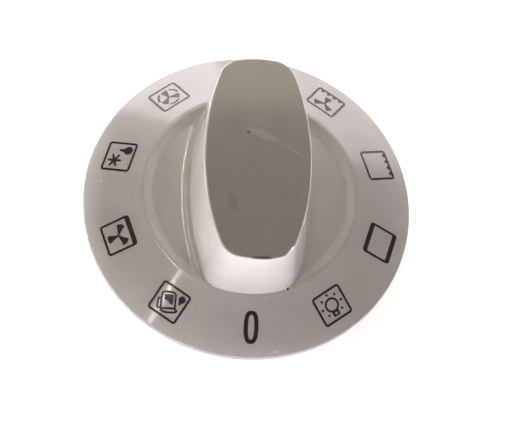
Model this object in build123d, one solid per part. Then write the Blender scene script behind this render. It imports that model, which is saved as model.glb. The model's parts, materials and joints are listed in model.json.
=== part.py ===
from build123d import *
from math import atan, cos, radians, tan
import os

# Cooker control knob, in millimetres. The origin is the centre of the rim's underside. +Z points away
# from the cooker panel through the grip, and the pointer end of the grip looks along -Y.

# Skirt
rim_diameter = 60.0
rim_land_height = 0.9
rim_edge_radius = 0.45
ridge_diameter = 39.6
ridge_height = 6.1
ridge_edge_radius = 0.5
skirt_wall = 1.9

# Finger recess between the ridge and the grip
recess_depth = 1.1
recess_slope_width = 1.3
recess_corner_radius = 1.6
foot_blend_radius = 1.9

# Grip
grip_height = 21.5
grip_top_width = 19.1
grip_side_draft = 5.3
grip_end_draft = 0.5
grip_end_setback = 0.05
grip_side_radius = 49.0
grip_corner_radius = 4.3
grip_edge_radius = 0.45
grip_wall = 2.0

# Socket for a switch shaft with one flat
shaft_diameter = 6.0
shaft_flat_offset = 1.5
shaft_clearance = 0.05
hub_diameter = 11.0
hub_setback = 1.0
socket_depth = 14.5
socket_chamfer = 0.5
lead_in_length = 4.0
lead_in_clearance = 0.4
lead_in_taper = 0.6
jaw_slot_width = 1.2
jaw_slot_depth = 8.0

# Ribs that tie the hub to the walls of the grip
rib_thickness = 1.4
rib_setback = 10.0

# Steel band that closes the two jaws of the socket on the shaft
band_thickness = 0.6
band_width = 3.2
band_setback = 2.0
band_gap_angle = 50.0
band_groove_depth = 0.35
band_clearance = 0.05

# Places that follow from the sizes
rim_radius = rim_diameter / 2
ridge_radius = ridge_diameter / 2
ridge_inner_radius = ridge_radius - ridge_edge_radius
floor_radius = ridge_inner_radius - recess_slope_width
floor_height = ridge_height - recess_depth
grip_foot_radius = ridge_radius - grip_end_setback
hub_radius = hub_diameter / 2
socket_radius = shaft_diameter / 2 + shaft_clearance
lead_in_radius = shaft_diameter / 2 + lead_in_clearance
flat_offset = shaft_flat_offset + shaft_clearance
groove_radius = hub_radius - band_groove_depth
groove_low = hub_setback + band_setback
groove_width = band_width + 2 * band_clearance

# Cutting tools reach this far past the faces that they open
overshoot = 1.0

upwards = (Align.CENTER, Align.CENTER, Align.MIN)
downwards = (Align.CENTER, Align.CENTER, Align.MAX)


def round_corner(face, corner, radius):
    """Round the corner of a flat face that lies at the given point."""
    nearest = face.vertices().sort_by_distance(Vector(*corner))[0]
    return fillet(nearest, radius)


def skirt():
    """Rim, cone, ridge and recess floor, turned about the shaft axis."""
    outline = Polyline(
        (0, 0),
        (rim_radius, 0),
        (rim_radius, rim_land_height),
        (ridge_radius, ridge_height),
        (ridge_inner_radius, ridge_height),
        (floor_radius, floor_height),
        (0, floor_height),
        close=True,
    )
    face = make_face(outline)
    face = round_corner(face, (rim_radius, rim_land_height), rim_edge_radius)
    face = round_corner(face, (floor_radius, floor_height), recess_corner_radius)
    face = round_corner(face, (ridge_radius, ridge_height), ridge_edge_radius)
    return revolve(Plane.XZ * face, Axis.Z)


def end_cone(inset=0.0):
    """Cone about the shaft axis that carries the two end faces of the grip."""
    fall = tan(radians(grip_end_draft))
    low_radius = grip_foot_radius + floor_height * fall - inset
    top = grip_height - inset
    return Cone(low_radius, low_radius - top * fall, top, align=upwards)


def side_cone(side, inset=0.0):
    """Wide cone that carries one bowed side face: side is 1 at the right and -1 at the left."""
    fall = tan(radians(grip_side_draft))
    low_radius = grip_side_radius + grip_height * fall - inset
    top = grip_height - inset
    centre = side * (grip_top_width / 2 - grip_side_radius)
    return Pos(centre, 0, 0) * Cone(low_radius, low_radius - top * fall, top, align=upwards)


def grip_block(inset=0.0):
    """Form of the grip down to the rim plane, drawn in by inset at its sides, ends and top."""
    return side_cone(1, inset) & side_cone(-1, inset) & end_cone(inset)


def grip():
    """Grip that flows into the recess floor at its sides and runs into the ridge at its ends."""
    bar = grip_block()
    upright_edges = bar.edges().filter_by(GeomType.CIRCLE, reverse=True)
    bar = fillet(upright_edges, grip_corner_radius)
    bar = fillet(bar.faces().sort_by(Axis.Z)[-1].edges(), grip_edge_radius)
    floor = Pos(0, 0, floor_height) * Cylinder(rim_radius, skirt_wall, align=downwards)
    bar_on_floor = bar + floor
    foot_edges = bar_on_floor.edges().filter_by_position(Axis.Z, floor_height, floor_height)
    foot_edges = foot_edges.sort_by(SortBy.LENGTH)[:-1]
    return fillet(foot_edges, foot_blend_radius) & end_cone()


def skirt_hollow():
    """Shallow space under the skirt, one wall thickness below its outside."""
    slope = (ridge_height - rim_land_height) / (rim_radius - ridge_radius)
    wall_drop = skirt_wall / cos(atan(slope))
    roof = floor_height - skirt_wall
    mouth_radius = ridge_radius + (ridge_height - wall_drop + overshoot) / slope
    roof_radius = ridge_radius + (ridge_height - wall_drop - roof) / slope
    outline = Polyline(
        (0, -overshoot),
        (mouth_radius, -overshoot),
        (roof_radius, roof),
        (0, roof),
        close=True,
    )
    return revolve(Plane.XZ * make_face(outline), Axis.Z)


def hub_and_ribs():
    """Shaft hub that hangs from the roof of the grip, with a lengthwise and a crosswise rib."""
    hub = Pos(0, 0, hub_setback) * Cylinder(hub_radius, grip_height, align=upwards)
    lengthwise = Box(rib_thickness, 2 * grip_foot_radius, grip_height, align=upwards)
    crosswise = Box(2 * grip_foot_radius, rib_thickness, grip_height, align=upwards)
    ribs = Pos(0, 0, rib_setback) * (lengthwise + crosswise)
    return (hub + ribs) & grip_block(grip_wall / 2)


def socket():
    """Space for the shaft: chamfered mouth, round lead-in, then the close stretch with the flat."""
    mouth = Cone(lead_in_radius + socket_chamfer, lead_in_radius, socket_chamfer, align=upwards)
    lead_in_depth = socket_chamfer + lead_in_length
    lead_in = Cylinder(lead_in_radius, lead_in_depth, align=upwards)
    taper = Pos(0, 0, lead_in_depth) * Cone(lead_in_radius, socket_radius, lead_in_taper, align=upwards)
    bore = Cylinder(socket_radius, socket_depth, align=upwards)
    close_depth = lead_in_depth + lead_in_taper
    land = Pos(0, flat_offset, close_depth) * Box(
        2 * socket_radius,
        socket_radius,
        socket_depth - close_depth,
        align=(Align.CENTER, Align.MIN, Align.MIN),
    )
    return Pos(0, 0, hub_setback) * (mouth + lead_in + taper + (bore - land))


def jaw_slot():
    """Slot across the hub's free end that parts it into two jaws."""
    return Pos(0, 0, hub_setback - overshoot) * Box(
        hub_diameter + 2 * overshoot, jaw_slot_width, jaw_slot_depth + overshoot, align=upwards
    )


def ring(outer_radius, inner_radius, width):
    """Plain ring that stands on the plane z = 0."""
    return extrude(Circle(outer_radius) - Circle(inner_radius), width)


def knob_body():
    """The whole white moulding."""
    shell = skirt() + grip() - skirt_hollow() - grip_block(grip_wall)
    body = shell + hub_and_ribs() - socket() - jaw_slot()
    groove = Pos(0, 0, groove_low) * ring(hub_radius + overshoot, groove_radius, groove_width)
    return body - groove


def shaft_band():
    """Open steel band in the groove round the two jaws, up against the groove's far shoulder."""
    inner_radius = groove_radius + band_clearance
    outer_radius = inner_radius + band_thickness
    gap_reach = 2 * outer_radius
    half_gap = gap_reach * tan(radians(band_gap_angle / 2))
    gap = make_face(Polyline((0, 0), (gap_reach, -half_gap), (gap_reach, half_gap), close=True))
    outline = Circle(outer_radius) - Circle(inner_radius) - gap
    band = extrude(outline, band_width)
    return Pos(0, 0, groove_low + groove_width - band_width) * band


pieces = {
    "knob_body": knob_body(),
    "shaft_band": shaft_band(),
}

os.makedirs("parts", exist_ok=True)
for name, piece in pieces.items():
    export_step(piece, f"parts/{name}.step")
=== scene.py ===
import json
from math import atan2, cos, hypot, pi, radians, sin, sqrt, tan

import bmesh
import bpy
from bpy.props import FloatProperty, FloatVectorProperty, PointerProperty
from mathutils import Matrix, Vector
from mathutils.geometry import delaunay_2d_cdt

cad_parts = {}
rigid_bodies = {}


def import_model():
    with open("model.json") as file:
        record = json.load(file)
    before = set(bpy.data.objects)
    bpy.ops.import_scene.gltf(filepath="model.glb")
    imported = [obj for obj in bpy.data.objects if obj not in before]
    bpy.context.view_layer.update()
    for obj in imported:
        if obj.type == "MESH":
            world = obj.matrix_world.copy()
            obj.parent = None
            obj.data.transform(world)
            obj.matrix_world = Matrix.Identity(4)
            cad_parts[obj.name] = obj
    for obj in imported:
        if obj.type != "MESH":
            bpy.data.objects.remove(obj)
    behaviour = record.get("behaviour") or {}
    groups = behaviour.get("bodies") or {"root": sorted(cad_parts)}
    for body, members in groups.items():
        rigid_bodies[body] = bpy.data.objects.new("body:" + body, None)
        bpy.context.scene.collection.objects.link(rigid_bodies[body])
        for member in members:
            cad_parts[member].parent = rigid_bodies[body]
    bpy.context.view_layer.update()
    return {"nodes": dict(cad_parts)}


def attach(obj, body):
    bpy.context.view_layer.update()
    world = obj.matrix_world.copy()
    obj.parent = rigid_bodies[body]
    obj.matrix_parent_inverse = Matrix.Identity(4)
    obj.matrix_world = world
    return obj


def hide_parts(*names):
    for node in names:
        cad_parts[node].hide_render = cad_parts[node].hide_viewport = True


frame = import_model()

bl_info = {
    "name": "Cooker control knob",
    "version": (1, 0, 0),
    "blender": (4, 5, 0),
    "location": "View3D > Sidebar > Cooker Knob",
    "description": "Dresses the moulded cooker knob: gloss plastic, steel band, printed signs and stage",
    "category": "Object",
}

MM = 0.001

# Moulding, in millimetres and degrees, with the sizes that the solids have
RIM_RADIUS = 30.0
RIM_LAND_HEIGHT = 0.9
RIM_EDGE_RADIUS = 0.45
RIDGE_RADIUS = 19.8
RIDGE_HEIGHT = 6.1
RIDGE_EDGE_RADIUS = 0.5
RECESS_DEPTH = 1.1
RECESS_SLOPE_WIDTH = 1.3
RECESS_CORNER_RADIUS = 1.6
FOOT_BLEND_RADIUS = 1.9
GRIP_HEIGHT = 21.5
GRIP_TOP_WIDTH = 19.1
GRIP_SIDE_RADIUS = 49.0
GRIP_SIDE_DRAFT = 5.3
GRIP_END_DRAFT = 0.5
GRIP_END_SETBACK = 0.05
GRIP_CORNER_RADIUS = 4.3
GRIP_EDGE_RADIUS = 0.45

# Places that follow from the sizes
RIDGE_INNER_RADIUS = RIDGE_RADIUS - RIDGE_EDGE_RADIUS
FLOOR_RADIUS = RIDGE_INNER_RADIUS - RECESS_SLOPE_WIDTH
FLOOR_HEIGHT = RIDGE_HEIGHT - RECESS_DEPTH
GRIP_FOOT_RADIUS = RIDGE_RADIUS - GRIP_END_SETBACK
CONE_FALL = (RIDGE_HEIGHT - RIM_LAND_HEIGHT) / (RIM_RADIUS - RIDGE_RADIUS)
CONE_COSINE = 1 / sqrt(1 + CONE_FALL**2)
CONE_SINE = CONE_FALL * CONE_COSINE

# Columns and rows of the moulding's mesh. A share says how far a row lies along its stretch. Rows crowd
# beside the rounded edges, so that the flats between them shade evenly.
COLUMNS = 720
TOP_SHARES = (0.3, 0.6, 0.85, 0.985)
GRIP_EDGE_STEPS = 8
WALL_SHARES = (0.015, 0.15, 0.3, 0.45, 0.6, 0.75, 0.9, 0.985)
FOOT_BLEND_STEPS = 14
FLOOR_ROW_RADII = (9.0, 12.0, 14.0, 15.5, 17.0, 17.35)
RECESS_CORNER_STEPS = 8
RECESS_SLOPE_SHARES = (0.15, 0.6, 0.98, 1.0)
RIDGE_SHARES = (0.02, 0.5, 0.9)
RIDGE_EDGE_STEPS = 6
CONE_SHARES = (0.01, 0.1, 0.25, 0.4, 0.55, 0.7, 0.85, 0.95, 0.99)
RIM_EDGE_STEPS = 8
RIM_LAND_SHARES = (0.15, 0.9, 1.0)

# Gaps that count as none, in millimetres, where points are compared or merged
MEETING_GAP = 1e-6
LEVEL_GAP = 0.001
CIRCLE_GAP = 0.01
MERGE_GAP = 0.0005
FILL_GAP = 1e-5

# Halvings in the search for the place where the grip meets the skirt, and the turn of a sharp edge
MEETING_HALVINGS = 30
SHARP_ANGLE = radians(20)


class PlasticSettings(bpy.types.PropertyGroup):
    """Finish of the white moulding."""

    colour: FloatVectorProperty(
        name="Plastic colour",
        description="Body colour of the moulded plastic",
        subtype="COLOR",
        min=0.0,
        max=1.0,
        default=(0.72, 0.69, 0.655),
    )
    shade: FloatVectorProperty(
        name="Mottled colour",
        description="Slightly darker colour that the plastic drifts to in soft patches",
        subtype="COLOR",
        min=0.0,
        max=1.0,
        default=(0.67, 0.64, 0.605),
    )
    roughness: FloatProperty(
        name="Roughness",
        description="Roughness of the polished surface",
        min=0.0,
        max=1.0,
        default=0.078,
    )


class PrintSettings(bpy.types.PropertyGroup):
    """Size and ink of the printed signs."""

    ink: FloatVectorProperty(
        name="Ink colour",
        description="Colour of the printed signs",
        subtype="COLOR",
        min=0.0,
        max=1.0,
        default=(0.012, 0.0065, 0.003),
    )
    circle_radius: FloatProperty(
        name="Sign circle",
        description="Distance of the middle of each sign from the shaft axis",
        unit="LENGTH",
        default=25.1 * MM,
    )
    film: FloatProperty(
        name="Film thickness",
        description="Height of the ink above the plastic",
        unit="LENGTH",
        default=0.03 * MM,
    )


class SteelSettings(bpy.types.PropertyGroup):
    """Finish of the steel band inside."""

    colour: FloatVectorProperty(
        name="Steel colour",
        description="Colour of the spring steel strip",
        subtype="COLOR",
        min=0.0,
        max=1.0,
        default=(0.42, 0.41, 0.40),
    )
    roughness: FloatProperty(
        name="Roughness",
        description="Roughness across the rolling marks",
        min=0.0,
        max=1.0,
        default=0.32,
    )


class StageSettings(bpy.types.PropertyGroup):
    """Camera and light of the studio."""

    camera_azimuth: FloatProperty(
        name="Camera azimuth",
        description="Direction of the camera round the shaft axis, from +X",
        subtype="ANGLE",
        default=radians(-102.5),
    )
    camera_elevation: FloatProperty(
        name="Camera elevation",
        description="Height of the camera above the floor, as an angle",
        subtype="ANGLE",
        default=radians(65.28),
    )
    camera_roll: FloatProperty(
        name="Camera roll",
        description="Turn of the camera about its own line of sight",
        subtype="ANGLE",
        default=radians(-13.62),
    )
    camera_distance: FloatProperty(
        name="Camera distance",
        description="Distance from the camera to the point it looks at",
        unit="LENGTH",
        default=0.50678,
    )
    lens: FloatProperty(
        name="Lens",
        description="Focal length on a 36 mm sensor, in millimetres",
        default=195.63,
    )
    backdrop: FloatVectorProperty(
        name="Backdrop colour",
        description="Colour of floor and backdrop",
        subtype="COLOR",
        min=0.0,
        max=1.0,
        default=(0.9, 0.9, 0.9),
    )
    ambient: FloatProperty(
        name="Ambient light",
        description="Strength of the even light from all round",
        min=0.0,
        default=0.02,
    )


# Span that holds most values of a noise texture
NOISE_LOW = 0.3
NOISE_HIGH = 0.7


def new_material(name):
    """Node material with an empty tree but for its Principled shader and output."""
    material = bpy.data.materials.new(name)
    material.use_nodes = True
    tree = material.node_tree
    tree.nodes.clear()
    output = tree.nodes.new("ShaderNodeOutputMaterial")
    shader = tree.nodes.new("ShaderNodeBsdfPrincipled")
    tree.links.new(shader.outputs["BSDF"], output.inputs["Surface"])
    return material, tree, shader


def object_noise(tree, scale, detail, stretch=(1.0, 1.0, 1.0)):
    """Noise fixed to the piece, with its scale counted in features for each metre."""
    place = tree.nodes.new("ShaderNodeTexCoord")
    mapping = tree.nodes.new("ShaderNodeMapping")
    mapping.inputs["Scale"].default_value = stretch
    noise = tree.nodes.new("ShaderNodeTexNoise")
    noise.inputs["Scale"].default_value = scale
    noise.inputs["Detail"].default_value = detail
    tree.links.new(place.outputs["Object"], mapping.inputs["Vector"])
    tree.links.new(mapping.outputs["Vector"], noise.inputs["Vector"])
    return noise.outputs["Fac"]


def ranged(tree, source, low, high, from_low=NOISE_LOW, from_high=NOISE_HIGH):
    """Number that runs from low to high as the source runs over its usual span."""
    span = tree.nodes.new("ShaderNodeMapRange")
    span.inputs["From Min"].default_value = from_low
    span.inputs["From Max"].default_value = from_high
    span.inputs["To Min"].default_value = low
    span.inputs["To Max"].default_value = high
    tree.links.new(source, span.inputs["Value"])
    return span.outputs["Result"]


def mix_towards(tree, factor, colour):
    """Mix node that runs from its first colour, still to be set, to the given colour."""
    mix = tree.nodes.new("ShaderNodeMix")
    mix.data_type = "RGBA"
    mix.inputs["B"].default_value = (*colour, 1.0)
    tree.links.new(factor, mix.inputs["Factor"])
    return mix


def mixed_colour(tree, factor, first, second):
    """Colour that runs from the first to the second with a factor."""
    mix = mix_towards(tree, factor, second)
    mix.inputs["A"].default_value = (*first, 1.0)
    return mix.outputs["Result"]


def vary_roughness(tree, shader, noise, roughness, least, most):
    """Let the roughness drift with a noise between two shares of its value."""
    drift = ranged(tree, noise, roughness * least, roughness * most)
    tree.links.new(drift, shader.inputs["Roughness"])


def add_bump(tree, shader, height, strength, distance):
    """Fine relief on a shader's surface."""
    bump = tree.nodes.new("ShaderNodeBump")
    bump.inputs["Strength"].default_value = strength
    bump.inputs["Distance"].default_value = distance
    tree.links.new(height, bump.inputs["Height"])
    tree.links.new(bump.outputs["Normal"], shader.inputs["Normal"])


# Marks on the moulding: a scuff and specks of dirt, painted highlights and painted reflections. Each has
# place and half sizes in millimetres, turn about Z in degrees, colour and cover. A mark has its full cover
# out to MARK_CORE of its half size and fades out from there.
MARKS = {
    "scuff_on_edge": ((0.8, -19.36, 21.4), (2.6, 0.36, 0.5), 1.0, (0.1, 0.085, 0.075), 0.9),
    "speck_at_front": ((6.79, -18.47, 6.11), (0.3, 0.36, 0.3), 0.0, (0.02, 0.015, 0.012), 1.0),
    # painted highlights: small white glints painted on the left skirt, on the rim edge at the front and
    # beside the ridge at the front
    "glint_on_skirt_left": ((-26.83, 2.96, 2.42), (0.22, 0.5, 0.4), 8.0, (1.0, 1.0, 1.0), 0.9),
    "painted_glint_on_rim": ((5.1, -28.8, 1.28), (0.8, 0.2, 0.4), 6.0, (1.0, 0.99, 0.97), 0.7),
    "painted_glint_at_front_ridge": ((2.94, -20.24, 5.77), (0.6, 0.12, 0.3), 6.0, (1.0, 0.99, 0.97), 0.6),
    "speck_at_left": ((-9.6, -10.55, 8.81), (0.25, 0.25, 0.25), 0.0, (0.15, 0.14, 0.13), 0.5),
    "speck_on_top": ((-1.66, 4.8, 21.5), (0.4, 0.42, 0.3), 0.0, (0.08, 0.08, 0.08), 0.65),
    "small_speck_on_top": ((0.95, 6.15, 21.5), (0.3, 0.18, 0.2), 0.0, (0.1, 0.1, 0.1), 0.35),
    # painted reflections on the flat top: a pale curved streak in two pieces and a darker reddish oval,
    # standing in for things mirrored in the gloss
    "painted_reflection_streak": ((0.9, 4.45, 21.5), (4.1, 0.95, 0.5), -22.0, (0.98, 0.96, 0.95), 0.42),
    "painted_reflection_streak_end": ((6.5, 1.4, 21.5), (2.5, 0.34, 0.5), -34.0, (0.98, 0.96, 0.95), 0.45),
    "painted_reflection_oval": ((-4.45, -8.9, 21.5), (2.4, 1.05, 0.5), -76.0, (0.6, 0.46, 0.42), 0.5),
}
MARK_CORE = 0.5


def add_mark(tree, base, name, place, half_sizes, turn, colour, cover):
    """Soft-edged spot of another colour, laid over the base colour."""
    coordinates = tree.nodes.new("ShaderNodeTexCoord")
    mapping = tree.nodes.new("ShaderNodeMapping")
    mapping.label = name
    mapping.vector_type = "TEXTURE"
    mapping.inputs["Location"].default_value = [value * MM for value in place]
    mapping.inputs["Rotation"].default_value = (0.0, 0.0, radians(turn))
    mapping.inputs["Scale"].default_value = [value * MM for value in half_sizes]
    length = tree.nodes.new("ShaderNodeVectorMath")
    length.operation = "LENGTH"
    tree.links.new(coordinates.outputs["Object"], mapping.inputs["Vector"])
    tree.links.new(mapping.outputs["Vector"], length.inputs[0])
    factor = ranged(tree, length.outputs["Value"], cover, 0.0, from_low=MARK_CORE, from_high=1.0)
    mix = mix_towards(tree, factor, colour)
    tree.links.new(base, mix.inputs["A"])
    return mix.outputs["Result"]


def gloss_plastic(settings):
    """Polished white moulding with soft mottling, faint orange peel and handling haze."""
    material, tree, shader = new_material("white_gloss_plastic")
    mottle = ranged(tree, object_noise(tree, scale=180.0, detail=3.0), 0.0, 1.0)
    colour = mixed_colour(tree, mottle, tuple(settings.colour), tuple(settings.shade))
    # lays the marks over the colour: a scuff and specks of dirt, painted glints and painted reflections
    for name, mark in MARKS.items():
        colour = add_mark(tree, colour, name, *mark)
    tree.links.new(colour, shader.inputs["Base Color"])
    haze = object_noise(tree, scale=420.0, detail=4.0)
    vary_roughness(tree, shader, haze, settings.roughness, least=0.75, most=1.2)
    shader.inputs["IOR"].default_value = 1.5
    peel = object_noise(tree, scale=900.0, detail=2.0)
    add_bump(tree, shader, peel, strength=0.015, distance=0.05 * MM)
    return material


def printing_ink(settings):
    """Near-black pad-print ink, a little uneven in cover."""
    material, tree, shader = new_material("printing_ink")
    cover = object_noise(tree, scale=2600.0, detail=3.0)
    gain, lift = 2.0, 0.004
    thin = tuple(min(1.0, channel * gain + lift) for channel in settings.ink)
    thinness = ranged(tree, cover, 0.0, 1.0, from_low=0.35, from_high=0.8)
    colour = mixed_colour(tree, thinness, tuple(settings.ink), thin)
    tree.links.new(colour, shader.inputs["Base Color"])
    tree.links.new(ranged(tree, cover, 0.12, 0.22), shader.inputs["Roughness"])
    shader.inputs["IOR"].default_value = 1.5
    shader.inputs["Specular IOR Level"].default_value = 0.55
    add_bump(tree, shader, cover, strength=0.1, distance=0.02 * MM)
    return material


def spring_steel(settings):
    """Bright rolled strip with fine marks along the strip."""
    material, tree, shader = new_material("spring_steel_strip")
    rolling = object_noise(tree, scale=500.0, detail=4.0, stretch=(1.0, 1.0, 14.0))
    dark_share = 0.72
    dark = tuple(channel * dark_share for channel in settings.colour)
    colour = mixed_colour(tree, ranged(tree, rolling, 0.0, 1.0), tuple(settings.colour), dark)
    tree.links.new(colour, shader.inputs["Base Color"])
    vary_roughness(tree, shader, rolling, settings.roughness, least=0.8, most=1.3)
    shader.inputs["Metallic"].default_value = 1.0
    add_bump(tree, shader, rolling, strength=0.2, distance=0.02 * MM)
    return material


def cover_with(piece, material):
    """Give a whole piece one material."""
    piece.data.materials.clear()
    piece.data.materials.append(material)


def add_piece(name, mesh, material):
    """Link a mesh as a piece of the knob that rides on its one body."""
    piece = bpy.data.objects.new(name, mesh)
    bpy.context.scene.collection.objects.link(piece)
    cover_with(piece, material)
    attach(piece, "root")
    return piece


def points_between(start, end, shares):
    """Points that lie at given shares of the way from start to end."""
    return [(start[0] + (end[0] - start[0]) * s, start[1] + (end[1] - start[1]) * s) for s in shares]


def rounded(start, corner, end, radius, steps):
    """Points of the arc that rounds the corner between two straight lines."""
    first = Vector(start) - Vector(corner)
    last = Vector(end) - Vector(corner)
    first.normalize()
    last.normalize()
    opening = first.angle(last)
    reach = radius / tan(opening / 2)
    centre = Vector(corner) + (first + last).normalized() * (radius / sin(opening / 2))
    spoke = Vector(corner) + first * reach - centre
    sweep = pi - opening
    turn = 1 if spoke.cross(Vector(corner) + last * reach - centre) > 0 else -1
    points = []
    for i in range(steps + 1):
        c, s = cos(turn * sweep * i / steps), sin(turn * sweep * i / steps)
        points.append((centre.x + spoke.x * c - spoke.y * s, centre.y + spoke.x * s + spoke.y * c))
    return points


def skirt_profile():
    """Outside of the skirt as (radius, height), from the recess floor out to the rim's foot."""
    floor = (FLOOR_RADIUS, FLOOR_HEIGHT)
    inner = (RIDGE_INNER_RADIUS, RIDGE_HEIGHT)
    ridge = (RIDGE_RADIUS, RIDGE_HEIGHT)
    land = (RIM_RADIUS, RIM_LAND_HEIGHT)
    foot = (RIM_RADIUS, 0.0)
    profile = [(radius, FLOOR_HEIGHT) for radius in FLOOR_ROW_RADII]
    profile += rounded(profile[0], floor, inner, RECESS_CORNER_RADIUS, RECESS_CORNER_STEPS)
    profile += points_between(profile[-1], inner, RECESS_SLOPE_SHARES)
    ridge_edge = rounded(inner, ridge, land, RIDGE_EDGE_RADIUS, RIDGE_EDGE_STEPS)
    profile += points_between(inner, ridge_edge[0], RIDGE_SHARES) + ridge_edge
    rim_edge = rounded(ridge, land, foot, RIM_EDGE_RADIUS, RIM_EDGE_STEPS)
    profile += points_between(ridge_edge[-1], rim_edge[0], CONE_SHARES) + rim_edge
    return profile + points_between(rim_edge[-1], foot, RIM_LAND_SHARES)


def grip_levels():
    """Rows of the grip as (height, outset from the wall), from the flat top to the recess floor."""
    levels = []
    for i in range(GRIP_EDGE_STEPS + 1):
        angle = pi / 2 * i / GRIP_EDGE_STEPS
        height = GRIP_HEIGHT - GRIP_EDGE_RADIUS * (1 - cos(angle))
        levels.append((height, -GRIP_EDGE_RADIUS * (1 - sin(angle))))
    draft = radians(GRIP_SIDE_DRAFT)
    centre = FLOOR_HEIGHT + FOOT_BLEND_RADIUS
    blend_top = centre + FOOT_BLEND_RADIUS * sin(draft)
    wall_top = GRIP_HEIGHT - GRIP_EDGE_RADIUS
    for share in WALL_SHARES:
        levels.append((wall_top + (blend_top - wall_top) * share, 0.0))
    for i in range(FOOT_BLEND_STEPS + 1):
        angle = -draft + (pi / 2 + draft) * i / FOOT_BLEND_STEPS
        height = centre - FOOT_BLEND_RADIUS * sin(angle)
        outset = FOOT_BLEND_RADIUS * (1 / cos(draft) - cos(angle)) - (centre - height) * tan(draft)
        levels.append((height, outset))
    return levels


def end_reach(height):
    """Radius that the ends of the grip are turned to at a level."""
    return GRIP_FOOT_RADIUS - (height - FLOOR_HEIGHT) * tan(radians(GRIP_END_DRAFT))


def grip_reach(direction, height, outset):
    """Distance from the shaft axis to the side of the grip, in a direction and at a level."""
    below = GRIP_HEIGHT - height
    side = GRIP_SIDE_RADIUS + below * tan(radians(GRIP_SIDE_DRAFT)) + outset
    end = end_reach(height) + outset
    corner = GRIP_CORNER_RADIUS + outset
    c, s = abs(cos(direction)), abs(sin(direction))
    offset = GRIP_SIDE_RADIUS - GRIP_TOP_WIDTH / 2
    # middle of the corner's arc, which touches the side arc and the end arc from inside
    from_side_centre, from_axis = side - corner, end - corner
    x = (from_side_centre * from_side_centre - from_axis * from_axis - offset * offset) / (2 * offset)
    y = sqrt(from_axis * from_axis - x * x)
    side_touch = atan2(y * side / from_side_centre, (x + offset) * side / from_side_centre - offset)
    end_touch = atan2(y, x)
    ray = atan2(s, c)
    if ray <= side_touch:
        return sqrt(side * side - (offset * s) ** 2) - offset * c
    if ray >= end_touch:
        return end
    along_ray = x * c + y * s
    return along_ray + sqrt(corner * corner - (x * s - y * c) ** 2)


def height_on(profile, radius):
    """Height of the skirt at a radius."""
    for (r0, z0), (r1, z1) in zip(profile, profile[1:]):
        if r0 <= radius <= r1 and r1 > r0:
            return z0 + (z1 - z0) * (radius - r0) / (r1 - r0)
    return profile[0][1] if radius < profile[0][0] else 0.0


def crossing(above, below, profile):
    """Point where the line from a point above the skirt to one below it meets the skirt."""
    for _ in range(MEETING_HALVINGS):
        middle = ((above[0] + below[0]) / 2, (above[1] + below[1]) / 2)
        if middle[1] > height_on(profile, middle[0]):
            above = middle
        else:
            below = middle
    return below


def column(direction, levels, profile):
    """Outside of the moulding along one direction, from the edge of the flat top to the rim's foot."""
    points = []
    meeting = None
    for height, outset in levels:
        reach = min(grip_reach(direction, height, outset), end_reach(height))
        if meeting is None and height <= height_on(profile, reach) + MEETING_GAP:
            meeting = crossing(points[-1], (reach, height), profile)
        points.append(meeting or (reach, height))
    meeting = meeting or points[-1]
    points += [spot if spot[0] > meeting[0] + MEETING_GAP else meeting for spot in profile]
    return points


def moulding_skin():
    """Outside of the moulding as points in metres and faces, closed but for its foot."""
    profile, levels = skirt_profile(), grip_levels()
    points, faces, columns = [(0.0, 0.0, GRIP_HEIGHT * MM)], [], []
    for i in range(COLUMNS):
        direction = 2 * pi * i / COLUMNS
        line = column(direction, levels, profile)
        line = [(line[0][0] * share, GRIP_HEIGHT) for share in TOP_SHARES] + line
        last, indices = None, [0]
        for spot in line:
            if spot != last:
                last = spot
                points.append((spot[0] * cos(direction) * MM, spot[0] * sin(direction) * MM, spot[1] * MM))
            indices.append(len(points) - 1)
        columns.append(indices)
    for here, after in zip(columns, columns[1:] + columns[:1]):
        for a, b, c, d in zip(here, here[1:], after[1:], after):
            corners = list(dict.fromkeys((a, b, c, d)))
            if len(corners) > 2:
                faces.append(corners)
    return points, faces


def at_foot(vert):
    """Whether a point of the solid lies on the rim's underside or below it."""
    return vert.co.z < LEVEL_GAP * MM


def on_foot_circle(edge):
    """Whether an edge of the solid lies on the outer circle of the rim's underside."""
    return all(at_foot(v) and v.co.xy.length > (RIM_RADIUS - CIRCLE_GAP) * MM for v in edge.verts)


def underside(work):
    """Faces of the solid that are reached from the rim's underside without going round its edge."""
    reached = {face for face in work.faces if all(at_foot(v) for v in face.verts)}
    front = list(reached)
    while front:
        face = front.pop()
        for edge in face.edges:
            for beside in edge.link_faces:
                if beside not in reached and not on_foot_circle(edge):
                    reached.add(beside)
                    front.append(beside)
    return reached


def moulding_mesh(solid):
    """Fine mesh of the moulding: smooth outside from its sizes, and the solid's own faces underneath."""
    points, faces = moulding_skin()
    work = bmesh.new()
    work.from_mesh(solid)
    bmesh.ops.remove_doubles(work, verts=work.verts, dist=MERGE_GAP * MM)
    kept = underside(work)
    bmesh.ops.delete(work, geom=[face for face in work.faces if face not in kept], context="FACES")
    verts = [work.verts.new(point) for point in points]
    for face in faces:
        work.faces.new([verts[i] for i in face])
    bmesh.ops.bridge_loops(work, edges=[edge for edge in work.edges if edge.is_boundary])
    for face in work.faces:
        face.smooth = True
    mesh = bpy.data.meshes.new("moulding")
    work.to_mesh(mesh)
    work.free()
    mesh.set_sharp_from_angle(angle=SHARP_ANGLE)
    return mesh


# Outlines of the signs. They are drawn flat in millimetres, with x to the right and y outwards.
OUTLINE_STEP = 0.3
FRAME_HALF_WIDTH = 3.02
FRAME_HALF_HEIGHT = 2.97
FRAME_CORNER = 0.6
LINE = 0.42
THICK_LINE = 0.92

# Teeth of the grill: places in pitches from the middle, and sizes
TOOTH_PLACES = (1.5, 0.5, -0.5, -1.5)
TOOTH_PITCH = 1.25
TOOTH_DEPTH = 0.62
TOOTH_HALF_WIDTH = 0.5
TOOTH_TIP_HALF_WIDTH = 0.06

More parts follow.
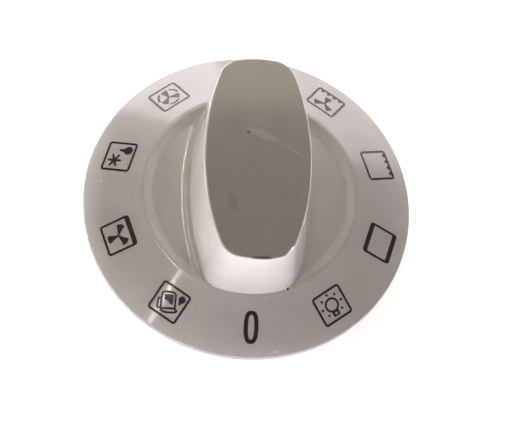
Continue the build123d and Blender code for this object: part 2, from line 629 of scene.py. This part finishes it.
# Blades of the fan: their directions in degrees, then the points of one blade as shares of the fan's
# radius and degrees off the blade's middle
BLADE_DIRECTIONS = (90, 210, 330)
BLADE_NOTCH = (0.08, -60.0)
BLADE_SIDE = [(0.5, 22.0), (0.95, 22.5), (1.01, 17.0)]
BLADE_TIP = (1.03, 0.0)


def along(start, end):
    """Points from start up to but without end, a step or less apart."""
    nearly_one = 0.999
    count = max(1, int(hypot(end[0] - start[0], end[1] - start[1]) / OUTLINE_STEP + nearly_one))
    return [
        (start[0] + (end[0] - start[0]) * i / count, start[1] + (end[1] - start[1]) * i / count)
        for i in range(count)
    ]


def polygon(corners):
    """Closed outline through the corners, with points a step or less apart."""
    points = []
    for start, end in zip(corners, corners[1:] + corners[:1]):
        points += along(start, end)
    return points


def arc(centre, radius, start, end):
    """Points of an arc from start to end, in degrees, both ends with it."""
    least, fineness = 3, 1.5
    count = max(least, int(abs(radians(end - start)) * radius / OUTLINE_STEP * fineness) + 1)
    angles = [radians(start + (end - start) * i / count) for i in range(count + 1)]
    return [(centre[0] + radius * cos(a), centre[1] + radius * sin(a)) for a in angles]


def circle(centre, radius):
    """Closed round outline."""
    return arc(centre, radius, 0, 360)[:-1]


def oval(half_width, half_height):
    """Closed upright outline, fuller than an ellipse."""
    power, count = 2 / 2.7, 56
    points = []
    for i in range(count):
        c, s = cos(2 * pi * i / count), sin(2 * pi * i / count)
        x = half_width * abs(c) ** power * (1 if c >= 0 else -1)
        y = half_height * abs(s) ** power * (1 if s >= 0 else -1)
        points.append((x, y))
    return points


def rounded_box(left, bottom, right, top, radius):
    """Closed box outline with rounded corners."""
    corners = arc((right - radius, top - radius), radius, 0, 90)
    corners += arc((left + radius, top - radius), radius, 90, 180)
    corners += arc((left + radius, bottom + radius), radius, 180, 270)
    corners += arc((right - radius, bottom + radius), radius, 270, 360)
    return polygon(corners)


def turned(points, centre, angle):
    """Points turned by an angle in degrees and then moved so that 0, 0 lies at the centre."""
    c, s = cos(radians(angle)), sin(radians(angle))
    return [(centre[0] + x * c - y * s, centre[1] + x * s + y * c) for x, y in points]


def stroke(line, width, closed=False):
    """Line of even width through the points, open or closed."""
    mitre_limit = 0.5
    left, right = [], []
    last = len(line) - 1
    for i, (x, y) in enumerate(line):
        before = line[i - 1] if i or closed else (x, y)
        after = line[(i + 1) % len(line)] if i < last or closed else (x, y)
        come = Vector((x - before[0], y - before[1]))
        go = Vector((after[0] - x, after[1] - y))
        come = (come if come.length else go).normalized()
        go = (go if go.length else come).normalized()
        across = Vector((-come.y - go.y, come.x + go.x)).normalized()
        reach = width / 2 / max(mitre_limit, across.dot(Vector((-come.y, come.x))))
        left.append((x + across.x * reach, y + across.y * reach))
        right.append((x - across.x * reach, y - across.y * reach))
    if closed:
        return [[polygon(left), polygon(right)]]
    return [[polygon(left + right[::-1])]]


def sign_frame(upper=LINE, lower=LINE, teeth=False):
    """Rounded square frame whose upper or lower line may be thick, or whose upper line has teeth."""
    outer = rounded_box(
        -FRAME_HALF_WIDTH, -FRAME_HALF_HEIGHT, FRAME_HALF_WIDTH, FRAME_HALF_HEIGHT, FRAME_CORNER
    )
    right, top, bottom = FRAME_HALF_WIDTH - LINE, FRAME_HALF_HEIGHT - upper, lower - FRAME_HALF_HEIGHT
    if not teeth:
        return [[outer, rounded_box(-right, bottom, right, top, FRAME_CORNER - LINE)]]
    corners = [(-right, bottom), (right, bottom), (right, top)]
    for place in TOOTH_PLACES:
        middle = place * TOOTH_PITCH
        corners += [
            (middle + TOOTH_HALF_WIDTH, top),
            (middle + TOOTH_TIP_HALF_WIDTH, top - TOOTH_DEPTH),
            (middle - TOOTH_TIP_HALF_WIDTH, top - TOOTH_DEPTH),
            (middle - TOOTH_HALF_WIDTH, top),
        ]
    corners.append((-right, top))
    return [[outer, polygon(corners)]]


def fan(centre, radius):
    """Three tapered blades that meet in the middle."""
    coming = [(share, -offset) for share, offset in BLADE_SIDE]
    blade = [BLADE_NOTCH] + coming + [BLADE_TIP] + BLADE_SIDE[::-1]
    corners = []
    for direction in BLADE_DIRECTIONS:
        for share, offset in blade:
            angle = radians(direction + offset)
            reach = share * radius
            corners.append((centre[0] + reach * cos(angle), centre[1] + reach * sin(angle)))
    return [[polygon(corners)]]


def drop(centre, radius, tip, tail=0.16):
    """Solid drop with a round foot and a drawn-out tip above it."""
    foot = arc((0.0, 0.0), radius, -210, 30)
    shoulder = (0.62 * radius, 0.78 * radius)
    neck = (max(tail, 0.36 * radius), 0.35 * radius + 0.4 * tip)
    side = [shoulder, neck, (tail, 0.97 * tip)]
    outline = foot + side + [(0.0, tip)] + [(-x, y) for x, y in reversed(side)]
    return [[turned(polygon(outline), centre, 0)]]


def asterisk(centre, reach, width, hub, arms=6):
    """Star of straight arms on a small hub, as one outline."""
    half, bevel = width / 2, 0.1
    arm = [(reach - bevel, -half), (reach, -half + bevel), (reach, half - bevel), (reach - bevel, half)]
    corners = []
    for i in range(arms):
        corners += turned(arm, centre, 90 + i * 360 / arms)
        between_arms = radians(90 + (i + 0.5) * 360 / arms)
        corners.append((centre[0] + hub * cos(between_arms), centre[1] + hub * sin(between_arms)))
    return [[polygon(corners)]]


def sign_off():
    """Tall narrow figure 0."""
    return [[oval(1.33, 2.98), oval(0.55, 2.22)]]


def sign_lamp():
    """Hanging lamp: round glass, cap above it, and short rays."""
    centre, radius = (0.0, -0.08), 1.2
    shapes = sign_frame()
    shapes += stroke(circle(centre, radius), LINE * 0.9, closed=True)
    shapes.append([rounded_box(-0.68, 0.95, 0.68, 2.14, 0.25), rounded_box(-0.27, 1.42, 0.27, 1.86, 0.12)])
    for angle in (0, 45, 135, 180, 225, 270, 315):
        shapes += stroke(turned([(1.8, 0.0), (2.25, 0.0)], centre, angle), 0.4)
    return shapes


def sign_upper_and_lower_heat():
    """Frame with its upper and lower line thick."""
    return sign_frame(THICK_LINE, THICK_LINE)


def sign_grill():
    """Frame with teeth at the top."""
    return sign_frame(teeth=True)


def sign_fan_grill():
    """Fan under the teeth of the grill."""
    return sign_frame(teeth=True) + fan((0.0, -0.66), 1.98)


def sign_lower_heat():
    """Frame with its lower line thick."""
    return sign_frame(lower=THICK_LINE)


def sign_fan_with_ring():
    """Fan with three arcs of a ring between its blades."""
    centre, half_span = (0.0, -0.05), 29
    shapes = sign_frame() + fan(centre, 1.95)
    for direction in (30, 150, 270):
        shapes += stroke(arc(centre, 2.0, direction - half_span, direction + half_span), 0.38)
    return shapes


def sign_defrost():
    """Snow crystal above a drop."""
    return sign_frame() + asterisk((-0.85, 0.77), 1.42, 0.38, 0.5) + drop((1.33, -1.42), 0.86, 1.9)


def sign_fan_and_lower_heat():
    """Fan in a frame with its lower line thick."""
    return sign_frame(lower=THICK_LINE) + fan((-0.05, 0.0), 2.12)


def sign_jug():
    """Tilted half-full jug with a drop below its lip."""
    body = [(1.97, -0.79), (1.72, -0.06), (1.04, 1.29), (0.73, 1.79), (-0.43, 1.06), (-1.45, 0.46)]
    body += [(-0.73, -0.87), (-0.3, -1.66), (0.05, -1.84), (0.5, -1.77), (1.24, -1.42), (1.75, -1.09)]
    lid = [(0.73, 1.79), (0.5, 2.06), (0.15, 2.09), (-0.41, 1.9), (-1.22, 1.45), (-1.88, 0.99)]
    lid += [(-2.0, 0.68), (-1.45, 0.46)]
    handle = [(1.6, 0.15), (2.08, 0.42), (1.77, 1.2), (1.38, 1.98), (0.88, 1.72)]
    filling = [(1.52, -0.67), (0.8, -1.14), (0.05, -1.48), (-0.12, -1.26), (-0.77, 0.12), (-0.37, 0.21)]
    filling += [(0.25, 0.03), (0.75, 0.01), (1.04, 0.09)]
    shapes = sign_frame() + drop((-1.72, -1.58), 0.66, 1.08, 0.26)
    shapes += stroke(body, 0.36, closed=True) + stroke(lid, 0.36) + stroke(handle, 0.34)
    return shapes + [[polygon(filling)]]


# Signs round the skirt: what draws each, direction from +X in degrees, shift outwards and turn
SIGNS = {
    "sign_off": (sign_off, 271.1, -0.02, -0.7),
    "sign_lamp": (sign_lamp, 306.8, 0.18, -0.2),
    "sign_upper_and_lower_heat": (sign_upper_and_lower_heat, 342.4, 0.12, 0.4),
    "sign_grill": (sign_grill, 18.5, 0.04, 0.5),
    "sign_fan_grill": (sign_fan_grill, 54.8, 0.02, 0.4),
    "sign_lower_heat": (sign_lower_heat, 90.5, 0.0, 0.0),
    "sign_fan_with_ring": (sign_fan_with_ring, 126.1, -0.19, 0.4),
    "sign_defrost": (sign_defrost, 162.3, -0.34, -0.1),
    "sign_fan_and_lower_heat": (sign_fan_and_lower_heat, 199.3, -0.25, -0.7),
    "sign_jug": (sign_jug, 235.7, 0.02, -0.9),
}

# Grid of points inside the ink, in millimetres. The shift keeps it off the signs' upright lines.
GRID_REACH = 3.5
GRID_PITCH = 0.5
GRID_SHIFT = 0.01
GRID_CLEARANCE = GRID_PITCH / 3

# Depth that the ink films reach into the plastic, in millimetres
FILM_ROOT = 0.06


def on_skirt(point, direction, circle_radius, lift):
    """Place on the skirt for a point of a flat sign, raised square to the cone by lift."""
    outward = circle_radius + point[1] * MM * CONE_COSINE
    c, s = cos(radians(direction)), sin(radians(direction))
    x = outward * c + point[0] * MM * s
    y = outward * s - point[0] * MM * c
    reach = hypot(x, y)
    height = RIDGE_HEIGHT * MM - (reach - RIDGE_RADIUS * MM) * CONE_FALL
    widening = lift * CONE_SINE / reach
    return Vector((x + x * widening, y + y * widening, height + lift * CONE_COSINE))


def inside(point, loops):
    """Whether a point lies in the ink between the outlines."""
    x, y = point
    crossings = 0
    for loop in loops:
        for (x0, y0), (x1, y1) in zip(loop, loop[1:] + loop[:1]):
            if (y0 > y) != (y1 > y) and x < x0 + (y - y0) / (y1 - y0) * (x1 - x0):
                crossings += 1
    return crossings % 2 == 1


def fill(shapes):
    """Small triangles that fill the ink of all the shapes as one, as points and index triples."""
    points, edges = [], []
    for loop in (loop for loops in shapes for loop in loops):
        first = len(points)
        points += loop
        edges += [(first + i, first + (i + 1) % len(loop)) for i in range(len(loop))]
    outline = list(points)
    rows = int(GRID_REACH / GRID_PITCH)
    grid = range(-rows, rows + 1)
    for spot in [(i * GRID_PITCH + GRID_SHIFT, j * GRID_PITCH) for i in grid for j in grid]:
        clear = min(hypot(spot[0] - x, spot[1] - y) for x, y in outline) > GRID_CLEARANCE
        if clear and any(inside(spot, loops) for loops in shapes):
            points.append(spot)
    corners, _, triangles, *_ = delaunay_2d_cdt([Vector(p) for p in points], edges, [], 0, FILL_GAP)
    kept = []
    for a, b, c in triangles:
        middle = (corners[a] + corners[b] + corners[c]) / 3
        if any(inside(middle, loops) for loops in shapes):
            turn = (corners[b] - corners[a]).cross(corners[c] - corners[a])
            kept.append((a, b, c) if turn > 0 else (a, c, b))
    return corners, kept


def film_mesh(name, flat, triangles, place, thickness):
    """Closed film from a flat fill, where place says where a flat point lies at a lift."""
    root = len(flat)
    points = [place(spot, thickness) for spot in flat]
    points += [place(spot, -FILM_ROOT * MM) for spot in flat]
    faces, sides = [], set()
    for a, b, c in triangles:
        faces.append((a, b, c))
        faces.append((root + c, root + b, root + a))
        sides |= {(a, b), (b, c), (c, a)}
    for a, b in sorted(sides):
        if (b, a) not in sides:
            faces.append((root + a, root + b, b, a))
    mesh = bpy.data.meshes.new(name)
    mesh.from_pydata(points, [], faces)
    mesh.update()
    return mesh


def print_sign(name, draw, direction, shift, turn, settings, ink):
    """One sign as a closed film of ink that lies on the skirt and reaches a little into it."""

    def place(flat, lift):
        spot = turned([flat], (0.0, shift), turn)[0]
        return on_skirt(spot, direction, settings.circle_radius, lift)

    mesh = film_mesh(name, *fill(draw()), place, settings.film)
    add_piece(name, mesh, ink)


class KNOB_OT_finish_moulding(bpy.types.Operator):
    """Give the white moulding its gloss plastic"""

    bl_idname = "knob.finish_moulding"
    bl_label = "Finish Moulding"

    def execute(self, context):
        mesh = moulding_mesh(frame["nodes"]["knob_body"].data)
        moulding = add_piece("moulding", mesh, gloss_plastic(context.scene.knob_plastic))
        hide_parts("knob_body")
        return {"FINISHED"}


class KNOB_OT_finish_band(bpy.types.Operator):
    """Give the band on the shaft hub its spring steel"""

    bl_idname = "knob.finish_band"
    bl_label = "Finish Steel Band"

    def execute(self, context):
        cover_with(frame["nodes"]["shaft_band"], spring_steel(context.scene.knob_steel))
        return {"FINISHED"}


class KNOB_OT_print_signs(bpy.types.Operator):
    """Print the ring of signs on the skirt"""

    bl_idname = "knob.print_signs"
    bl_label = "Print Signs"

    def execute(self, context):
        settings = context.scene.knob_print
        ink = printing_ink(settings)
        for name, sign in SIGNS.items():
            print_sign(name, *sign, settings, ink)
        return {"FINISHED"}


# Soft lamps round the knob: name, azimuth and elevation in degrees, then distance, width and height in
# metres, power and colour. Windows both light the plastic and show in its gloss.
WINDOWS = [
    ("ceiling", 90.0, 54.0, 0.6, 0.28, 0.2, 0.43, (1.0, 0.86, 0.61)),
    ("window_left", 166.0, 15.0, 0.6, 0.3, 0.15, 0.56, (1.0, 0.88, 0.76)),
    ("window_rear_left", 116.0, 9.0, 0.6, 0.5, 0.2, 0.58, (0.96, 0.9, 0.97)),
    ("window_rear_right", 57.0, 10.0, 0.6, 0.46, 0.18, 0.56, (1.0, 0.92, 0.91)),
]

# Near cards light the walls and the recesses and don't show in the gloss
CARDS = [
    ("card_front", 268.0, 14.0, 0.13, 0.09, 0.05, 0.042, (1.0, 0.89, 0.84)),
    ("card_rear_right", 45.0, 15.0, 0.13, 0.09, 0.05, 0.0155, (0.969, 0.926, 1.0)),
    ("card_rear", 95.0, 24.0, 0.09, 0.04, 0.03, 0.014, (0.879, 0.883, 1.0)),
    ("card_right", 15.0, 20.0, 0.12, 0.06, 0.04, 0.0105, (1.0, 0.94, 0.92)),
    ("card_high_rear", 120.0, 45.0, 0.09, 0.04, 0.03, 0.0021, (1.0, 0.85, 0.7)),
]

# Panes only show in the gloss
PANES = [
    ("pane_rear_left", 114.0, 9.0, 0.6, 0.5, 0.2, 0.7, (0.98, 0.92, 0.98)),
    ("pane_rear_right", 57.0, 10.0, 0.6, 0.46, 0.18, 0.46, (1.0, 0.92, 0.93)),
]

# Thin tubes only glint in the gloss: azimuths and elevations in degrees along each tube, then its width
# in metres and its radiance
TUBES = {
    "tube_over_cone": ([(212.4, 53.9), (218.2, 52.3)], 0.004, 40.0),
    "tube_left": ([(123.0, 43.6), (135.3, 50.1), (147.6, 56.5), (156.0, 60.5)], 0.01, 130.0),
    "tube_right": ([(-9.2, 64.5), (0.6, 60.2), (10.9, 55.3)], 0.01, 800.0),
    "tube_near": ([(156.0, 60.5), (175.4, 68.2), (196.0, 73.7), (203.0, 75.0)], 0.01, 620.0),
}
TUBE_DISTANCE = 0.6
TUBE_COLOUR = (1.0, 0.97, 0.92)

# Ring of lamps that face down and light the floor round the knob, but not the knob itself. Their powers
# go round from +X.
FLOOR_LAMP_POWERS = (0.4, 0.24, 0.15, 0.35, 1.2, 0.4, 0.78, 0.14)
FLOOR_LAMP_REACH = 0.12
FLOOR_LAMP_HEIGHT = 0.06
FLOOR_LAMP_SIZE = 0.06
FLOOR_LAMP_SPREAD = radians(100)
FLOOR_LAMP_COLOUR = (0.941, 0.93, 1.0)

# Floor, in metres. It lies a little under the rim, and its own glow is for the camera and the gloss.
FLOOR_HALF_WIDTH = 4.0
FLOOR_DROP = 0.02 * MM
FLOOR_GLOW_TO_CAMERA = 0.6
FLOOR_GLOW_TO_GLOSS = 1.0

# Strengths of the white surround
WORLD_TO_CAMERA = 1.0
WORLD_TO_GLOSS = 0.28

# Camera: the point on the rim plane that it looks at, the width of its sensor in millimetres, and the
# least distance that it sees, in metres
CAMERA_AIM = (1.563 * MM, -2.928 * MM, 0.0)
CAMERA_SENSOR_WIDTH = 36.0
CAMERA_CLIP_START = 0.01


def direction_from(azimuth, elevation):
    """Unit vector towards an azimuth and elevation in radians."""
    return Vector((cos(azimuth) * cos(elevation), sin(azimuth) * cos(elevation), sin(elevation)))


def add_lamp(name, place, facing, width, height, power, colour):
    """Rectangular soft lamp that faces in a direction and isn't seen itself."""
    lamp = bpy.data.lights.new(name, "AREA")
    lamp.shape = "RECTANGLE"
    lamp.size = width
    lamp.size_y = height
    lamp.energy = power
    lamp.color = colour
    light = bpy.data.objects.new(name, lamp)
    bpy.context.scene.collection.objects.link(light)
    light.location = place
    light.rotation_mode = "QUATERNION"
    light.rotation_quaternion = facing.to_track_quat("-Z", "Y")
    light.visible_camera = False
    return light


def add_soft_lamps(lamps, glossy=True, diffuse=True):
    """Soft lamps that face the knob, for its gloss, for its own colour, or for both."""
    for name, azimuth, elevation, distance, *rest in lamps:
        out = direction_from(radians(azimuth), radians(elevation))
        light = add_lamp(name, out * distance, -out, *rest)
        light.visible_glossy = glossy
        light.visible_diffuse = diffuse


def add_tube(name, places, width, radiance):
    """Bent thin lamp through the given directions, lit for reflections only."""
    spots = [direction_from(radians(a), radians(e)) * TUBE_DISTANCE for a, e in places]
    for i, (start, end) in enumerate(zip(spots, spots[1:])):
        length = (end - start).length
        middle = (start + end) / 2
        power = radiance * pi * width * length
        light = add_lamp(f"{name}_{i}", middle, -middle, length, width, power, TUBE_COLOUR)
        lengthwise, back = (end - start).normalized(), middle.normalized()
        axes = Matrix((lengthwise, back.cross(lengthwise), back)).transposed()
        light.rotation_quaternion = axes.to_quaternion()
        light.visible_diffuse = False


def add_floor_lamps():
    """Ring of lamps that light the floor."""
    down = Vector((0.0, 0.0, -1.0))
    size = FLOOR_LAMP_SIZE
    for i, power in enumerate(FLOOR_LAMP_POWERS):
        out = direction_from(2 * pi * i / len(FLOOR_LAMP_POWERS), 0.0)
        place = out * FLOOR_LAMP_REACH - down * FLOOR_LAMP_HEIGHT
        light = add_lamp(f"floor_lamp_{i}", place, down, size, size, power, FLOOR_LAMP_COLOUR)
        light.data.spread = FLOOR_LAMP_SPREAD
        light.visible_glossy = False


def add_lamps():
    """All the lamps round the knob and over the floor."""
    add_soft_lamps(WINDOWS)
    add_soft_lamps(CARDS, glossy=False)
    add_soft_lamps(PANES, diffuse=False)
    for name, tube in TUBES.items():
        add_tube(name, *tube)
    add_floor_lamps()


def backdrop_strength(tree, to_camera, to_gloss, to_rest=0.0):
    """Strength of a backdrop's own white: for the camera, for reflections, and for all other light."""
    path = tree.nodes.new("ShaderNodeLightPath")
    total = None
    for ray, strength in (("Is Camera Ray", to_camera), ("Is Glossy Ray", to_gloss)):
        step = tree.nodes.new("ShaderNodeMath")
        step.operation = "MULTIPLY_ADD"
        step.inputs[1].default_value = strength
        step.inputs[2].default_value = to_rest
        tree.links.new(path.outputs[ray], step.inputs[0])
        if total is not None:
            tree.links.new(total, step.inputs[2])
        total = step.outputs["Value"]
    return total


def floor_paper(settings):
    """Matt pale paper that the camera and the gloss see a little brighter than it is lit."""
    material, tree, shader = new_material("floor_paper")
    shader.inputs["Base Color"].default_value = (*settings.backdrop, 1.0)
    shader.inputs["Roughness"].default_value = 0.9
    glow = tree.nodes.new("ShaderNodeEmission")
    strength = backdrop_strength(tree, FLOOR_GLOW_TO_CAMERA, FLOOR_GLOW_TO_GLOSS)
    tree.links.new(strength, glow.inputs["Strength"])
    both = tree.nodes.new("ShaderNodeAddShader")
    tree.links.new(shader.outputs["BSDF"], both.inputs[0])
    tree.links.new(glow.outputs["Emission"], both.inputs[1])
    tree.links.new(both.outputs["Shader"], tree.nodes["Material Output"].inputs["Surface"])
    return material


def add_floor(settings):
    """Plain pale floor under the knob that keeps its shadow."""
    half = FLOOR_HALF_WIDTH
    corners = [(-half, -half, 0.0), (half, -half, 0.0), (half, half, 0.0), (-half, half, 0.0)]
    mesh = bpy.data.meshes.new("floor")
    mesh.from_pydata(corners, [], [(0, 1, 2, 3)])
    floor = bpy.data.objects.new("floor", mesh)
    floor.location.z = -FLOOR_DROP
    bpy.context.scene.collection.objects.link(floor)
    cover_with(floor, floor_paper(settings))


def set_world(settings):
    """Dim even surround that the camera sees as white."""
    world = bpy.data.worlds.new("studio")
    world.use_nodes = True
    tree = world.node_tree
    background = tree.nodes["Background"]
    background.inputs["Color"].default_value = (1.0, 1.0, 1.0, 1.0)
    strength = backdrop_strength(tree, WORLD_TO_CAMERA, WORLD_TO_GLOSS, settings.ambient)
    tree.links.new(strength, background.inputs["Strength"])
    bpy.context.scene.world = world


def add_camera(settings):
    """Camera at the viewing angle of a product shot from the front left, high above the knob."""
    back = direction_from(settings.camera_azimuth, settings.camera_elevation)
    data = bpy.data.cameras.new("camera")
    data.sensor_width = CAMERA_SENSOR_WIDTH
    data.lens = settings.lens
    data.clip_start = CAMERA_CLIP_START
    camera = bpy.data.objects.new("camera", data)
    bpy.context.scene.collection.objects.link(camera)
    place = Matrix.Translation(Vector(CAMERA_AIM) + back * settings.camera_distance)
    level = (-back).to_track_quat("-Z", "Y").to_matrix().to_4x4()
    turn = Matrix.Rotation(-settings.camera_roll, 4, "Z")
    camera.matrix_world = place @ level @ turn
    bpy.context.scene.camera = camera


def clear_default_scene():
    """Take away the cube, lamp and camera that a new file comes with."""
    for thing in [o for o in bpy.data.objects if o.name in ("Cube", "Light", "Camera")]:
        bpy.data.objects.remove(thing)


class KNOB_OT_set_stage(bpy.types.Operator):
    """Set the floor, the lights and the camera"""

    bl_idname = "knob.set_stage"
    bl_label = "Set Stage"

    def execute(self, context):
        settings = context.scene.knob_stage
        context.scene.view_settings.view_transform = "Standard"
        clear_default_scene()
        add_floor(settings)
        set_world(settings)
        add_lamps()
        add_camera(settings)
        return {"FINISHED"}


class KNOB_PT_panel(bpy.types.Panel):
    """Buttons and settings for the cooker knob"""

    bl_idname = "KNOB_PT_panel"
    bl_label = "Cooker Knob"
    bl_space_type = "VIEW_3D"
    bl_region_type = "UI"
    bl_category = "Cooker Knob"

    def draw(self, context):
        for operator in OPERATORS:
            self.layout.operator(operator.bl_idname)
        for group in (getattr(context.scene, name) for name in GROUPS):
            box = self.layout.box()
            for name in group.bl_rna.properties.keys():
                if name not in ("rna_type", "name"):
                    box.prop(group, name)


OPERATORS = [
    KNOB_OT_finish_moulding,
    KNOB_OT_finish_band,
    KNOB_OT_print_signs,
    KNOB_OT_set_stage,
]
GROUPS = {
    "knob_plastic": PlasticSettings,
    "knob_print": PrintSettings,
    "knob_steel": SteelSettings,
    "knob_stage": StageSettings,
}


def register():
    """Add the settings, operators and panel to Blender."""
    for name, group in GROUPS.items():
        bpy.utils.register_class(group)
        setattr(bpy.types.Scene, name, PointerProperty(type=group))
    for operator in OPERATORS:
        bpy.utils.register_class(operator)
    bpy.utils.register_class(KNOB_PT_panel)


def unregister():
    """Take the settings, operators and panel out of Blender."""
    bpy.utils.unregister_class(KNOB_PT_panel)
    for operator in reversed(OPERATORS):
        bpy.utils.unregister_class(operator)
    for name, group in GROUPS.items():
        delattr(bpy.types.Scene, name)
        bpy.utils.unregister_class(group)


def main():
    """Dress the knob and set the stage."""
    register()
    bpy.ops.knob.finish_moulding()
    bpy.ops.knob.finish_band()
    bpy.ops.knob.print_signs()
    bpy.ops.knob.set_stage()


if __name__ == "__main__":
    main()
